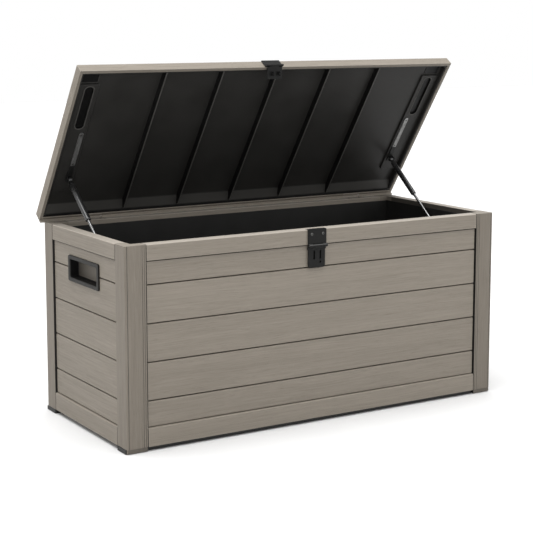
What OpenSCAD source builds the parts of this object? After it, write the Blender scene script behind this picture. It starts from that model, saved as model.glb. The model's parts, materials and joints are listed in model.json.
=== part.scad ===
// Deck storage box: posts, rails and boards round a dark liner, with a hinged lid
// on two gas struts and a fold-up hasp. Modelled with the lid standing open.

/* [Body] */
// Width of the body across the front
body_w = 1200; // [900:10:1500]
// Depth of the body from front to back
body_d = 510; // [440:5:600]
// Height of the body to the top of its rails
body_h = 540; // [480:5:640]
// Width of a corner post on the front and the back
post_w = 60; // [50:1:80]
// Width of a corner post on the two sides
post_side_w = 55; // [45:1:75]
// Thickness of the rails and of the post walls
rail_t = 32; // [26:1:40]
// Height of the top rails
top_rail_h = 42; // [34:1:60]
// Height of the bottom rails
bottom_rail_h = 50; // [40:1:60]
// Height of the bottom rails above the ground
ground_gap = 12; // [8:1:20]

/* [Boards] */
// Thickness of a wall board
board_t = 16; // [10:1:18]
// Setback of the boards behind the posts
board_recess = 5; // [2:1:8]
// Height of a full board row
board_pitch = 101; // [90:1:105]
// Height of the lowest board row
low_board_h = 70; // [60:1:80]
// Open seam between two boards
seam = 2.5; // [1:0.5:4]
// Open gap between the end of a board and the post
end_gap = 4; // [2:0.5:6]
// Chamfer along the long edges of a board
board_chamfer = 2; // [1:0.5:3]

/* [Liner] */
// Thickness of the liner walls
liner_t = 4; // [3:0.5:6]
// Height that the liner stops below the top of the rails
liner_drop = 13; // [10:1:36]
// Height of the floor panel's upper face
floor_top = 30; // [26:1:40]
// Thickness of the floor panel
floor_t = 8; // [6:1:12]

/* [Lid] */
// Height of the lid with its skirt
lid_h = 30; // [26:1:36]
// Width of the rim round the lid's underside
lid_rim = 9; // [8:1:14]
// Overhang of the lid past each side of the body
lid_side_over = 12; // [4:1:16]
// Overhang of the lid past the front and the back
lid_end_over = 5; // [3:1:6]
// Thickness of the lid's top
lid_top_t = 4; // [3:0.5:6]
// Gap between the closed lid and the rails
lid_gap = 1.5; // [1.5:0.1:3]
// Angle at which the lid stands open
open_angle = 55; // [40:1:60]

/* [Hardware] */
// Sideways offset of the hasp and latch from the middle
latch_x = -22; // [-60:1:60]
// Distance of each hinge from the middle
hinge_x = 452; // [300:1:500]
// Length of a hinge leaf
hinge_len = 60; // [50:1:80]
// Width of a handle bezel
handle_w = 192; // [160:1:210]
// Height of a handle bezel
handle_h = 71; // [60:1:80]
// Diameter of a gas strut's tube
strut_d = 16; // [14:1:16]
// Diameter of a gas strut's rod
strut_rod_d = 8; // [6:1:8]

/* [Hidden] */
$fn = 48;
far = 2000; // longer than any piece, for cuts that run right through
shaft_play = 0.05; // radial play of a pin in a turning part

// The open lid reaches behind the body, so the body stands this far ahead of the
// origin, which is the middle of the whole object.
body_mid_y = -10;

half_w = body_w / 2;
half_d = body_d / 2;
inner_x = half_w - rail_t;
inner_y = half_d - rail_t;
boards_low = ground_gap + bottom_rail_h;
boards_high = body_h - top_rail_h;
board_rows = 5;
board_back = board_recess + board_t;
tongue = 12; // width of the step on a post that carries the board ends
floor_low = floor_top - floor_t;
liner_top = body_h - liner_drop;

// Lid, in its closed place
lid_low = body_h + lid_gap;
lid_high = lid_low + lid_h;
lid_half_w = half_w + lid_side_over;
lid_half_d = half_d + lid_end_over;
pocket_x = lid_half_w - lid_rim;
pocket_y = lid_half_d - lid_rim;
liner_face = lid_low + 19; // face of the lid liner between its ribs
frame_face = lid_low + 13.5; // face of the raised strips beside the struts
upstand = 5; // thickness of the liner's edge
rib_low = lid_low + 3.5;
rib_w = 8;
rib_pitch = 176.5;
rib_count = 5;
rib_front_y = -pocket_y + upstand - 1;
rib_back_y = pocket_y - 10;

// Main hinges
hinge_y = lid_half_d + 3.9;
hinge_z = body_h + lid_gap / 2;
knuckle_r = 4;
hinge_pin_r = 1.8;
leaf_t = 1.3;
leaf_in_y = half_d - 24; // inner edge of a leaf on the body
hinge_screw_y = half_d - 12;
hinge_screw_pitch = 20;

// Latch and hasp
latch_half_w = 29.5;
latch_pin_y = -half_d - 8;
latch_pin_z = boards_high - 3;
latch_pin_r = 2;
latch_lip = 13; // width of the lip folded over the front rail
latch_lip_t = 1.2;
flap_near = 6.5; // from the latch pin to the near face of the flap's plate
flap_t = 4;
flap_len = 61;
slot_w = 6;
slot_start = 14; // from the latch pin to the near end of a slot
slot_len = 24;
slot_x = [-8.5, 11.5];
hasp_pin_y = -lid_half_d - 6;
hasp_pin_z = lid_low + 1;
hasp_pin_r = 1.5;
hasp_half_w = 29;
ear_t = 3.5;

// Gas struts
strut_x = half_w - 48; // centre line of each strut
strut_top_closed = [half_d - 137, lid_low + 3]; // upper pivot [y, z] with the lid shut
strut_foot = [-40, body_h - 58]; // lower pivot [y, z]
strut_tube_end = 156;
strut_pin_r = 3;
eye_half = 5.5;

function turned(p, a) = // point [y, z] after the lid has opened by a
  [hinge_y + (p.x - hinge_y) * cos(a) + (p.y - hinge_z) * sin(a),
   hinge_z - (p.x - hinge_y) * sin(a) + (p.y - hinge_z) * cos(a)];
strut_top = turned(strut_top_closed, open_angle);
strut_run = strut_foot - strut_top;
strut_len = norm(strut_run);
strut_tilt = atan2(-strut_run.x, strut_run.y);

function row_low(i) = i == 1 ? boards_low : boards_low + low_board_h + (i - 2) * board_pitch;
function row_high(i) = i == board_rows ? boards_high : row_low(i + 1);

handle_row = row_low(board_rows); // the seam that each handle sits across
cup_w = handle_w - 18;
cup_h = handle_h - 15;
cup_depth = 24;
cup_wall = 3;

taupe = [0.57, 0.53, 0.48];
black = [0.12, 0.12, 0.11];
dark_grey = [0.33, 0.33, 0.32];
steel = [0.75, 0.75, 0.76];

// ---- Placing ----
module place() translate([0, body_mid_y, 0]) children();

module place_lid() place() translate([0, hinge_y, hinge_z]) rotate([-open_angle, 0, 0])
  translate([0, -hinge_y, -hinge_z]) children();

module block(low, high) translate(low) cube(high - low);

// Puts a shape drawn for the front left corner, x and y pointing inwards, at any corner
module at_corner(sx, sy)
  mirror(sx > 0 ? [1, 0, 0] : [0, 0, 0]) mirror(sy > 0 ? [0, 1, 0] : [0, 0, 0])
    translate([-half_w, -half_d, 0]) children();

module both_sides() for (s = [0, 1]) mirror([s, 0, 0]) children();

module rod_x(x0, x1, r) translate([x0, 0, 0]) rotate([0, 90, 0]) cylinder(h = x1 - x0, r = r);

// ---- Body frame ----
module post_outline(round_r = 4) {
  groove = 1.2;
  difference() {
    union() {
      translate([round_r, round_r]) circle(r = round_r);
      polygon([[round_r, 0], [post_w, 0], [post_w, rail_t], [rail_t, rail_t],
        [rail_t, post_side_w], [0, post_side_w], [0, round_r], [round_r, round_r]]);
    }
    for (x = [6, post_w - 11, post_w - 5]) translate([x, -groove]) square([groove, 2 * groove]);
  }
}

module post(sx, sy) color(taupe) at_corner(sx, sy) {
  foot_h = sy < 0 ? 13 : 12;
  skin = 5.5;
  translate([0, 0, foot_h]) linear_extrude(body_h - foot_h) post_outline();
  block([post_w, board_back, boards_low], [post_w + tongue, rail_t, boards_high]);
  block([board_back, post_side_w, boards_low], [rail_t, post_side_w + tongue, boards_high]);
  if (sy < 0) block([2, 0.5, 2], [post_w - 0.5, skin, foot_h]);
}

module feet() color(black) for (sx = [-1, 1], sy = [-1, 1]) at_corner(sx, sy) {
  front = sy < 0 ? 5.5 : -2;
  block([-1.5, front, 0], [post_w - 4, post_side_w - 0.5, sy < 0 ? 13 : 12]);
}

module rail_profile(h, ease = 3) // outer face towards -y, drawn as [depth, height]
  polygon([[0, 0], [rail_t, 0], [rail_t, h - 1], [rail_t - 1, h], [ease, h],
    [ease * 0.3, h - ease * 0.3], [0, h - ease]]);

// A rail along the front, of half length half_len, standing at height z
module rail(half_len, face_y, z, h) color(taupe) translate([-half_len, -face_y, z])
  rotate([90, 0, 90]) linear_extrude(2 * half_len) rail_profile(h);

module front_rail(z, h) rail(half_w - post_w, half_d, z, h);

module side_rail(z, h) rotate([0, 0, -90]) rail(half_d - post_side_w, half_w, z, h);

module leaf_recess() for (s = [-1, 1])
  block([s * hinge_x - hinge_len / 2 - 0.5, leaf_in_y - 0.5, body_h - leaf_t],
    [s * hinge_x + hinge_len / 2 + 0.5, half_d + 1, body_h + 1]);

module top_rail_front() difference() {
  front_rail(boards_high, top_rail_h);
  block([latch_x - latch_half_w - 0.5, -half_d - 1, body_h - latch_lip_t],
    [latch_x + latch_half_w + 0.5, -half_d + latch_lip + 0.5, body_h + 1]);
}

module top_rail_rear() difference() {
  rotate([0, 0, 180]) front_rail(boards_high, top_rail_h);
  leaf_recess();
}

// ---- Boards ----
module board_profile(h) polygon([[0, board_chamfer], [board_chamfer, 0], [board_t, 0],
  [board_t, h], [board_chamfer, h], [0, h - board_chamfer]]);

// Board of row i along the front, its face at face_y
module board(i, half_len, face_y) color(taupe)
  translate([-half_len, -face_y, row_low(i) + seam / 2]) rotate([90, 0, 90])
    linear_extrude(2 * half_len) board_profile(row_high(i) - row_low(i) - seam);

module front_board(i) board(i, half_w - post_w - end_gap, half_d - board_recess);
module rear_board(i) rotate([0, 0, 180]) front_board(i);

module side_board(i) difference() {
  rotate([0, 0, -90]) board(i, half_d - post_side_w - end_gap, half_w - board_recess);
  block([-far, -cup_w / 2 - 1, handle_row - cup_h / 2 - 1],
    [far, cup_w / 2 + 1, handle_row + cup_h / 2 + 1]);
}

module left_board(i) side_board(i);
module right_board(i) mirror([1, 0, 0]) side_board(i);

// ---- Liner and floor ----
module liner_front() color(black)
  block([-inner_x + liner_t, -inner_y, floor_top], [inner_x - liner_t, -inner_y + liner_t, liner_top]);

module liner_left() color(black)
  block([-inner_x, -inner_y, floor_top], [-inner_x + liner_t, inner_y, liner_top]);

module floor_panel() color(black)
  block([-inner_x, -inner_y, floor_low], [inner_x, inner_y, floor_top]);

module base_runners() color(black) for (s = [0, 1]) mirror([0, s, 0])
  block([-half_w + post_w, -half_d + 9, 1.5], [half_w - post_w, -half_d + 28, ground_gap]);

// ---- Handles ----
module handle_left() color(dark_grey) difference() {
  union() {
    translate([-half_w, 0, handle_row]) rotate([90, 0, 90])
      linear_extrude(board_recess) rounded_plate(handle_w, handle_h, 6);
    block([-half_w + board_recess, -cup_w / 2, handle_row - cup_h / 2],
      [-half_w + board_recess + cup_depth, cup_w / 2, handle_row + cup_h / 2]);
  }
  block([-half_w - 1, -cup_w / 2 + cup_wall, handle_row - cup_h / 2 + cup_wall],
    [-half_w + board_recess + cup_depth - cup_wall, cup_w / 2 - cup_wall,
     handle_row + cup_h / 2 - cup_wall]);
}

// Plate w by h about the origin, its corners rounded with true arcs
module rounded_plate(w, h, r) {
  square([w - 2 * r, h], center = true);
  square([w, h - 2 * r], center = true);
  for (x = [-1, 1], y = [-1, 1]) translate([x * (w / 2 - r), y * (h / 2 - r)]) circle(r = r);
}

// ---- Latch on the body ----
module screw(r, length, head_r, head_h) { // points along +z, head at the origin
  translate([0, 0, -head_h]) cylinder(h = head_h, r = head_r);
  cylinder(h = length, r = r);
}

module at_latch_screws() for (x = [-18, 18])
  translate([latch_x + x, -half_d - 4, boards_high + 29]) rotate([-90, 0, 0]) children();

module latch_knuckle(x0, x1) translate([latch_x, latch_pin_y, latch_pin_z])
  rod_x(x0, x1, 4);

module latch_base() color(black) difference() {
  union() {
    block([latch_x - latch_half_w, -half_d - 4, boards_high],
      [latch_x + latch_half_w, -half_d, body_h]);
    block([latch_x - latch_half_w, -half_d - 1, body_h - latch_lip_t],
      [latch_x + latch_half_w, -half_d + latch_lip, body_h]);
    block([latch_x - 25, -half_d - 4, boards_high - 1.2],
      [latch_x + 25, -half_d + board_recess, boards_high]);
    block([latch_x - 25, -half_d + board_recess - 1.2, boards_high - 54],
      [latch_x + 25, -half_d + board_recess, boards_high]);
    for (s = [-1, 1]) {
      x = latch_x + s * 23;
      block([x - 6.5, latch_pin_y, latch_pin_z - 2], [x + 6.5, -half_d, boards_high + 2]);
    }
    latch_knuckle(-latch_half_w, -16.5);
    latch_knuckle(16.5, latch_half_w);
  }
  translate([latch_x, latch_pin_y, latch_pin_z]) rod_x(-40, 40, latch_pin_r);
  at_latch_screws() translate([0, 0, -1]) cylinder(h = 6, r = 2.1);
}

module latch_screws() color(steel) at_latch_screws() screw(2, 22, 4, 1.5);

module latch_pin() color(steel) translate([latch_x, latch_pin_y, latch_pin_z])
  rod_x(-latch_half_w, latch_half_w, latch_pin_r);

// Drawn hanging: x across, y up from the pin
module flap_outline() difference() {
  union() {
    translate([-27, -flap_len + 8]) square([54, flap_len - 12]);
    translate([-19, -flap_len]) square([38, 8]);
    for (s = [-1, 1]) translate([s * 19, -flap_len + 8]) circle(r = 8);
    translate([-latch_half_w, -11]) square([2 * latch_half_w, 7]);
  }
  for (x = slot_x) translate([x - slot_w / 2, -slot_start - slot_len]) square([slot_w, slot_len]);
  translate([slot_x[1], -slot_start - slot_len - 8]) circle(r = 3.2);
}

module latch_flap() color(black) difference() {
  union() {
    translate([latch_x, latch_pin_y + flap_near + flap_t, latch_pin_z]) rotate([90, 0, 0])
      linear_extrude(flap_t) flap_outline();
    block([latch_x - 16, latch_pin_y, latch_pin_z - 6.5],
      [latch_x + 16, latch_pin_y + flap_near + flap_t, latch_pin_z - 3]);
    latch_knuckle(-16, 16);
  }
  translate([latch_x, latch_pin_y, latch_pin_z]) rod_x(-40, 40, latch_pin_r + shaft_play);
}

// ---- Hasp on the lid; the tongue hangs plumb ----
module hasp_plate() color(black) difference() {
  union() {
    block([latch_x - hasp_half_w, -lid_half_d - 3, lid_low + 2.5],
      [latch_x + hasp_half_w, -lid_half_d, lid_high - 2]);
    for (s = [-1, 1]) {
      x = latch_x + s * 22;
      translate([0, hasp_pin_y, hasp_pin_z]) rod_x(x - 7, x + 7, 3);
      block([x - 7, hasp_pin_y, hasp_pin_z], [x + 7, -lid_half_d, hasp_pin_z + 3]);
    }
  }
  translate([latch_x, hasp_pin_y, hasp_pin_z]) rod_x(-40, 40, hasp_pin_r);
}

module hasp_pin() color(steel) translate([latch_x, hasp_pin_y, hasp_pin_z])
  rod_x(-hasp_half_w, hasp_half_w, hasp_pin_r);

// The two ears hold a padlock once the flap is folded up over them
module hasp_tongue() color(black) {
  pin = turned([hasp_pin_y, hasp_pin_z], open_angle);
  ear_low = -hasp_pin_z + latch_pin_z + 18;
  ear_out = 15.5;
  translate([latch_x, pin.x, pin.y]) difference() {
    union() {
      rod_x(-14.5, 14.5, 3);
      block([-14.5, -1.5, -6], [14.5, 1.5, 0]);
      block([-24, -1.5, -38.5], [24, 1.5, -4.5]);
      for (x = slot_x) block([x - ear_t / 2, -ear_out, ear_low], [x + ear_t / 2, -1, ear_low + 12]);
    }
    rod_x(-40, 40, hasp_pin_r + shaft_play);
    translate([0, -ear_out + 5, ear_low + 6]) rod_x(-40, 40, 2.8);
  }
}

// ---- Main hinges ----
module hinge_knuckle(x0, x1) translate([0, hinge_y, hinge_z]) rod_x(x0, x1, knuckle_r);

module at_hinge_screws(z) for (s = [-1, 1], k = [-1, 1])
  translate([s * hinge_x + k * hinge_screw_pitch, hinge_screw_y, z]) children();

// Leaf whose plate starts at in_y between z_low and z_high, with knuckles over the spans given
module hinge_leaf(in_y, z_low, z_high, spans) for (s = [-1, 1]) {
  x = s * hinge_x;
  block([x - hinge_len / 2, in_y, z_low], [x + hinge_len / 2, half_d + 4.4, z_high]);
  for (span = spans) {
    hinge_knuckle(x + span[0], x + span[1]);
    block([x + span[0], half_d + 4, z_low], [x + span[1], hinge_y, z_high]);
  }
}

module hinge_leaves_body() color(steel) difference() {
  hinge_leaf(leaf_in_y, body_h - leaf_t, body_h, [[-30, -10.3], [10.3, 30]]);
  translate([0, hinge_y, hinge_z]) rod_x(-far, far, hinge_pin_r);
  at_hinge_screws(body_h - 3) cylinder(h = 5, r = 1.9);
}

module hinge_leaves_lid() color(steel) difference() {
  hinge_leaf(pocket_y + 0.5, lid_low, lid_low + leaf_t, [[-10, 10]]);
  translate([0, hinge_y, hinge_z]) rod_x(-far, far, hinge_pin_r + shaft_play);
}

module hinge_pins() color(steel) for (s = [-1, 1])
  translate([s * hinge_x, hinge_y, hinge_z]) rod_x(-30, 30, hinge_pin_r);

module hinge_screws() color(steel) at_hinge_screws(body_h)
  rotate([180, 0, 0]) screw(1.8, 18, 3.4, 0.5);

// ---- Lid ----
module lid_block() intersection() {
  translate([-lid_half_w, 0, 0]) rotate([90, 0, 90]) linear_extrude(2 * lid_half_w)
    lid_section(lid_half_d);
  translate([0, lid_half_d, 0]) rotate([90, 0, 0]) linear_extrude(2 * lid_half_d)
    lid_section(lid_half_w);
}

module lid_section(half, ease = 3) polygon([[-half, lid_low], [half, lid_low],
  [half, lid_high - ease], [half - ease, lid_high], [-half + ease, lid_high],
  [-half, lid_high - ease]]);

module drip_lip() translate([-lid_half_w, lid_half_d, lid_low]) rotate([90, 0, 90])
  linear_extrude(2 * lid_half_w)
    polygon([[-2, 0], [-2, -6.9], [-0.5, -8.1], [1.3, -8.95], [1.6, -8.2], [0, -7], [0, 0]]);

module lid_shell() color(taupe) difference() {
  union() {
    lid_block();
    drip_lip();
  }
  block([-pocket_x, -pocket_y, lid_low - 1], [pocket_x, pocket_y, lid_high - lid_top_t]);
  for (y = [-150, -50, 50, 150]) // seams between the top's five boards
    block([-far, y - 1.5, lid_high - 1.5], [far, y + 1.5, lid_high + 1]);
  for (s = [-1, 1])
    block([s * hinge_x - hinge_len / 2 - 0.4, pocket_y - 1, lid_low - 10],
      [s * hinge_x + hinge_len / 2 + 0.4, lid_half_d + 2, lid_low + leaf_t]);
}

module lid_liner() color(black) {
  inner_x_edge = pocket_x - upstand;
  inner_y_edge = pocket_y - upstand;
  ramp = 28;
  block([-pocket_x, -pocket_y, liner_face], [pocket_x, pocket_y, liner_face + 4]);
  difference() { // upstand round the edge
    block([-pocket_x, -pocket_y, lid_low + 2.5], [pocket_x, pocket_y, liner_face]);
    block([-inner_x_edge, -inner_y_edge, 0], [inner_x_edge, inner_y_edge, far]);
  }
  for (i = [0 : rib_count - 1]) {
    x = (i - (rib_count - 1) / 2) * rib_pitch;
    block([x - rib_w / 2, rib_front_y, rib_low], [x + rib_w / 2, rib_back_y, liner_face]);
  }
  translate([-inner_x_edge, inner_y_edge, liner_face]) rotate([90, 0, 90]) // ramp at the rear
    linear_extrude(2 * inner_x_edge) polygon([[-ramp, 0], [-ramp, -0.5], [0, -13], [0, 0]]);
  both_sides() difference() { // raised strip with a slot beside each strut
    block([pocket_x - 67, -lid_half_d + 55, frame_face], [inner_x_edge, lid_half_d - 94, liner_face]);
    block([pocket_x - 52, -lid_half_d + 64, 0], [pocket_x - 28, -lid_half_d + 204, liner_face]);
  }
}

// ---- Gas struts ----
module strut_brackets_lid() color(steel) both_sides() {
  y = strut_top_closed.x;
  z = strut_top_closed.y;
  outer = strut_x + eye_half + 3;
  strip_x = strut_x - 2; // centre line of the flat strip
  strip_w = 13;
  low = frame_face - 2;
  difference() {
    union() {
      block([strip_x - strip_w / 2, y - 160, low], [strip_x + strip_w / 2, y - 20, frame_face]);
      block([strip_x - strip_w / 2, y - 22, low], [outer, y + 12, frame_face]);
      block([outer - 2.5, y - 8, z - 7.5], [outer, y + 8, frame_face]);
    }
    for (k = [-150, -50]) translate([strip_x, y + k, low - 2]) cylinder(h = 8, r = 2.5);
  }
  translate([0, y, z]) {
    rod_x(strut_x - eye_half - 0.5, outer - 2.5, strut_pin_r);
    rod_x(strut_x - eye_half - 2, strut_x - eye_half - 0.5, strut_pin_r + 1.5);
  }
}

module strut_brackets_body() color(steel) both_sides() {
  plate_t = 2;
  face = inner_x - liner_t;
  block([face - plate_t, strut_foot.x - 15, strut_foot.y - 20],
    [face, strut_foot.x + 15, strut_foot.y + 20]);
  translate([0, strut_foot.x, strut_foot.y]) rod_x(strut_x + 5.5, face - plate_t, strut_pin_r);
}

// Puts +z along the strut, from its upper pivot towards its lower one
module along_strut(side) translate([side * strut_x, strut_top.x, strut_top.y])
  rotate([strut_tilt, 0, 0]) children();

module strut_tube(side) color(black) along_strut(side) difference() {
  wall = 1.5;
  cap = 4;
  union() {
    rod_x(-eye_half, eye_half, 7);
    cylinder(h = 17, r = 4.5);
    translate([0, 0, 14]) cylinder(h = strut_tube_end - 14, d = strut_d);
  }
  rod_x(-far, far, strut_pin_r + shaft_play);
  translate([0, 0, 18]) cylinder(h = strut_tube_end - cap - 18, d = strut_d - 2 * wall);
  translate([0, 0, 18]) cylinder(h = far, r = strut_rod_d / 2 + shaft_play);
}

module strut_rod(side) color(steel) along_strut(side) {
  piston_low = strut_tube_end - 12;
  translate([0, 0, piston_low]) cylinder(h = 8, d = strut_d - 3.2);
  translate([0, 0, piston_low]) cylinder(h = strut_len - piston_low, d = strut_rod_d);
  translate([0, 0, strut_len]) rod_x(-5, 5, 7);
}

// ---- The assembly ----
place() post(-1, -1);  // post_front_left
place() post(1, -1);  // post_front_right
place() post(-1, 1);  // post_rear_left
place() post(1, 1);  // post_rear_right
place() feet();
place() top_rail_front();
place() top_rail_rear();
place() side_rail(boards_high, top_rail_h);  // top_rail_left
place() rotate([0, 0, 180]) side_rail(boards_high, top_rail_h);  // top_rail_right
place() front_rail(ground_gap, bottom_rail_h);  // bottom_rail_front
place() rotate([0, 0, 180]) front_rail(ground_gap, bottom_rail_h);  // bottom_rail_rear
place() side_rail(ground_gap, bottom_rail_h);  // bottom_rail_left
place() rotate([0, 0, 180]) side_rail(ground_gap, bottom_rail_h);  // bottom_rail_right
for (i = [1 : board_rows]) {
  place() front_board(i);
  place() rear_board(i);
  place() left_board(i);
  place() right_board(i);
}
place() liner_front();
place() rotate([0, 0, 180]) liner_front();  // liner_rear
place() liner_left();
place() rotate([0, 0, 180]) liner_left();  // liner_right
place() floor_panel();
place() base_runners();
place() handle_left();
place() mirror([1, 0, 0]) handle_left();  // handle_right
place() latch_base();
place() latch_screws();
place() latch_flap();
place() latch_pin();
place() hinge_leaves_body();
place_lid() hinge_leaves_lid();
place() hinge_pins();
place() hinge_screws();
place() strut_brackets_body();
place_lid() lid_shell();
place_lid() lid_liner();
place_lid() strut_brackets_lid();
place_lid() hasp_plate();
place() hasp_tongue();
place_lid() hasp_pin();
place() strut_tube(-1);  // strut_tube_left
place() strut_tube(1);  // strut_tube_right
place() strut_rod(-1);  // strut_rod_left
place() strut_rod(1);  // strut_rod_right
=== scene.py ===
import json
import math
import random

import bmesh
import bpy
from mathutils import Matrix, Vector


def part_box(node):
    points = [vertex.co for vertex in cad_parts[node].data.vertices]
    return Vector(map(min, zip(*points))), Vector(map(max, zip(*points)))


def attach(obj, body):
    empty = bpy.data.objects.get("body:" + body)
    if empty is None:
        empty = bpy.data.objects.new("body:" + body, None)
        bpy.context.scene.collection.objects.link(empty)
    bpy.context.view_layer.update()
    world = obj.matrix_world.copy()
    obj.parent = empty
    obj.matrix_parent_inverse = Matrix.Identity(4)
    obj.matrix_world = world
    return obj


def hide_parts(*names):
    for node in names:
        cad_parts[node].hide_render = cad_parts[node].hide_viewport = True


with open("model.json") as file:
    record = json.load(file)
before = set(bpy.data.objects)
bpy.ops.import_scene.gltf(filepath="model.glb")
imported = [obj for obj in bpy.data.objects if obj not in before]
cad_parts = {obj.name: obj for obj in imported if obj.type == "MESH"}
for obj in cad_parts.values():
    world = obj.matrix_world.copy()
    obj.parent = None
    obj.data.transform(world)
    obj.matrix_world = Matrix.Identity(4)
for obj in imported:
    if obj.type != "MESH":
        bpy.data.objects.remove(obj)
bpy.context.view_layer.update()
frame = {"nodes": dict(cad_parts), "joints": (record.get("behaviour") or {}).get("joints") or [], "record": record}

MM = 0.001
X, Y, Z = Vector((1, 0, 0)), Vector((0, 1, 0)), Vector((0, 0, 1))
record = frame["record"]
joints = {j["name"]: j for j in frame["joints"]}
node_body = {n: body for body, nodes in record["behaviour"]["bodies"].items() for n in nodes}

# The lid's pieces are drawn shut and then turned to where they stand at rest.
hinge = joints["lid_hinge"]
hinge_at = Vector(hinge["pos_m"])
OPEN_LID = (Matrix.Translation(hinge_at)
            @ Matrix.Rotation(math.radians(-hinge["range_deg"][0]), 4, Vector(hinge["axis"]))
            @ Matrix.Translation(-hinge_at))
SHUT_LID = OPEN_LID.inverted()


def shut_box(node):
    """The lowest and highest corners of a lid node with the lid shut."""
    points = [SHUT_LID @ v.co for v in frame["nodes"][node].data.vertices]
    return (Vector([min(p[i] for p in points) for i in range(3)]),
            Vector([max(p[i] for p in points) for i in range(3)]))


# ---------------------------------------------------------------- materials

class Finish:
    """A material with its Principled shader, and short calls for its other nodes."""

    def __init__(self, name, **values):
        self.material = bpy.data.materials.new(name)
        self.material.use_nodes = True
        self.tree = self.material.node_tree
        self.shader = self.tree.nodes["Principled BSDF"]
        for key, value in values.items():
            self.shader.inputs[key.replace("_", " ")].default_value = value

    def node(self, kind, inputs=(), **settings):
        """Adds a shader node with its sockets filled or linked."""
        made = self.tree.nodes.new("ShaderNode" + kind)
        for key, value in settings.items():
            setattr(made, key, value)
        for key, value in dict(inputs).items():
            self.put(made.inputs[key], value)
        return made

    def put(self, socket, value):
        if isinstance(value, bpy.types.NodeSocket):
            self.tree.links.new(value, socket)
        else:
            socket.default_value = value

    def math(self, operation, a, b=0.0, clamp=False):
        made = self.node("Math", {0: a, 1: b}, operation=operation, use_clamp=clamp)
        return made.outputs[0]

    def spread(self, value, low, high, to_low=0.0, to_high=1.0):
        made = self.node("MapRange", {0: value, 1: low, 2: high, 3: to_low, 4: to_high})
        return made.outputs[0]

    def stretch(self, coords, scale):
        made = self.node("VectorMath", {0: coords, 1: scale}, operation="MULTIPLY")
        return made.outputs[0]

    def noise(self, coords, scale, detail=2.0, roughness=0.5):
        """Noise with its own frequency, in cycles a metre, along each coordinate."""
        inputs = {"Vector": self.stretch(coords, scale), "Scale": 1.0,
                  "Detail": detail, "Roughness": roughness}
        return self.node("TexNoise", inputs).outputs["Fac"]

    def mix(self, amount, a, b, blend="MIX"):
        made = self.node("Mix", {0: amount, 6: a, 7: b}, data_type="RGBA", blend_type=blend)
        return made.outputs[2]

    def bump(self, height, depth, strength=1.0):
        made = self.node("Bump", {"Height": height, "Distance": depth, "Strength": strength})
        self.tree.links.new(made.outputs[0], self.shader.inputs["Normal"])

    def edge_mask(self, radius, flat_dot=0.995, edge_dot=0.85):
        """1 on an edge and 0 on flat stretches, from how far a rounded normal turns. It marks the paler edges,
        partly wear and partly a painted highlight.
        """
        soft = self.node("Bevel", {"Radius": radius}, samples=4).outputs[0]
        flat = self.node("NewGeometry").outputs["Normal"]
        turn = self.node("VectorMath", {0: soft, 1: flat}, operation="DOT_PRODUCT")
        return self.spread(turn.outputs["Value"], flat_dot, edge_dot)

    def local(self):
        return self.node("TexCoord").outputs["Object"]

    def stored(self, name, output="Fac"):
        """A value stored on the mesh. It reads 0 on a piece that doesn't store it."""
        return self.node("Attribute", attribute_name=name).outputs[output]


def rgb(r, g, b):
    return (r, g, b, 1.0)


# Near-black colours for painted shade in seams, gaps, grooves and recesses.
WOOD_PAINTED_SHADE = rgb(0.012, 0.011, 0.0095)
METAL_PAINTED_SHADE = rgb(0.012, 0.012, 0.012)


def wood_look(name, light, dark, wear_and_highlight):
    """Moulded wood grain, which runs along the first coordinate of the grain attribute.

    Its edges turn paler, partly as wear and partly as a painted highlight. The marks on a face mix it towards the
    pale colour, a painted highlight, and towards black, a painted shade.
    """
    f = Finish(name, IOR=1.46, Specular_IOR_Level=0.4)
    at = f.stored("grain", "Vector")
    sway = f.math("MULTIPLY", f.noise(at, (2.2, 9, 9), 1), 0.03)
    swayed = f.node("CombineXYZ", {1: sway, 2: sway}).outputs[0]
    at = f.node("VectorMath", {0: at, 1: swayed}, operation="ADD").outputs[0]
    fibre = f.noise(at, (16, 900, 900), 3, 0.62)
    streak = f.noise(at, (5.5, 260, 260), 3, 0.6)
    broad = f.noise(at, (1.3, 34, 34), 2)
    pore = f.spread(f.noise(at, (30, 560, 560), 2), 0.58, 0.70)
    shade = 0.0
    for layer, weight in ((fibre, 0.6), (streak, 0.85), (broad, 0.45)):
        centred = f.math("SUBTRACT", layer, 0.5)
        shade = f.math("ADD", shade, f.math("MULTIPLY", centred, weight))
    shade = f.math("ADD", shade, f.math("MULTIPLY", f.stored("tone"), 0.08))
    shade = f.math("SUBTRACT", shade, f.math("MULTIPLY", pore, 0.26))
    shade = f.math("ADD", shade, 0.55, clamp=True)
    colour = f.mix(shade, dark, light)
    # Paler edges, partly wear and partly a painted highlight.
    edge_wear_and_highlight = f.math("MULTIPLY", f.edge_mask(0.0022), f.spread(streak, 0.3, 0.7, 0.25, 0.6))
    colour = f.mix(edge_wear_and_highlight, colour, wear_and_highlight)
    # A painted highlight, then painted shade, on the faces marked for each.
    colour = f.mix(f.stored("painted_highlight"), colour, wear_and_highlight)
    colour = f.mix(f.stored("painted_shade"), colour, WOOD_PAINTED_SHADE)
    f.put(f.shader.inputs["Base Color"], colour)
    f.put(f.shader.inputs["Roughness"], f.spread(streak, 0.3, 0.7, 0.68, 0.54))
    height = f.math("ADD", f.math("MULTIPLY", fibre, 0.45), f.math("MULTIPLY", streak, 0.9))
    height = f.math("SUBTRACT", height, f.math("MULTIPLY", pore, 0.5))
    f.bump(height, 0.0006, 0.6)
    return f.material


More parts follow.
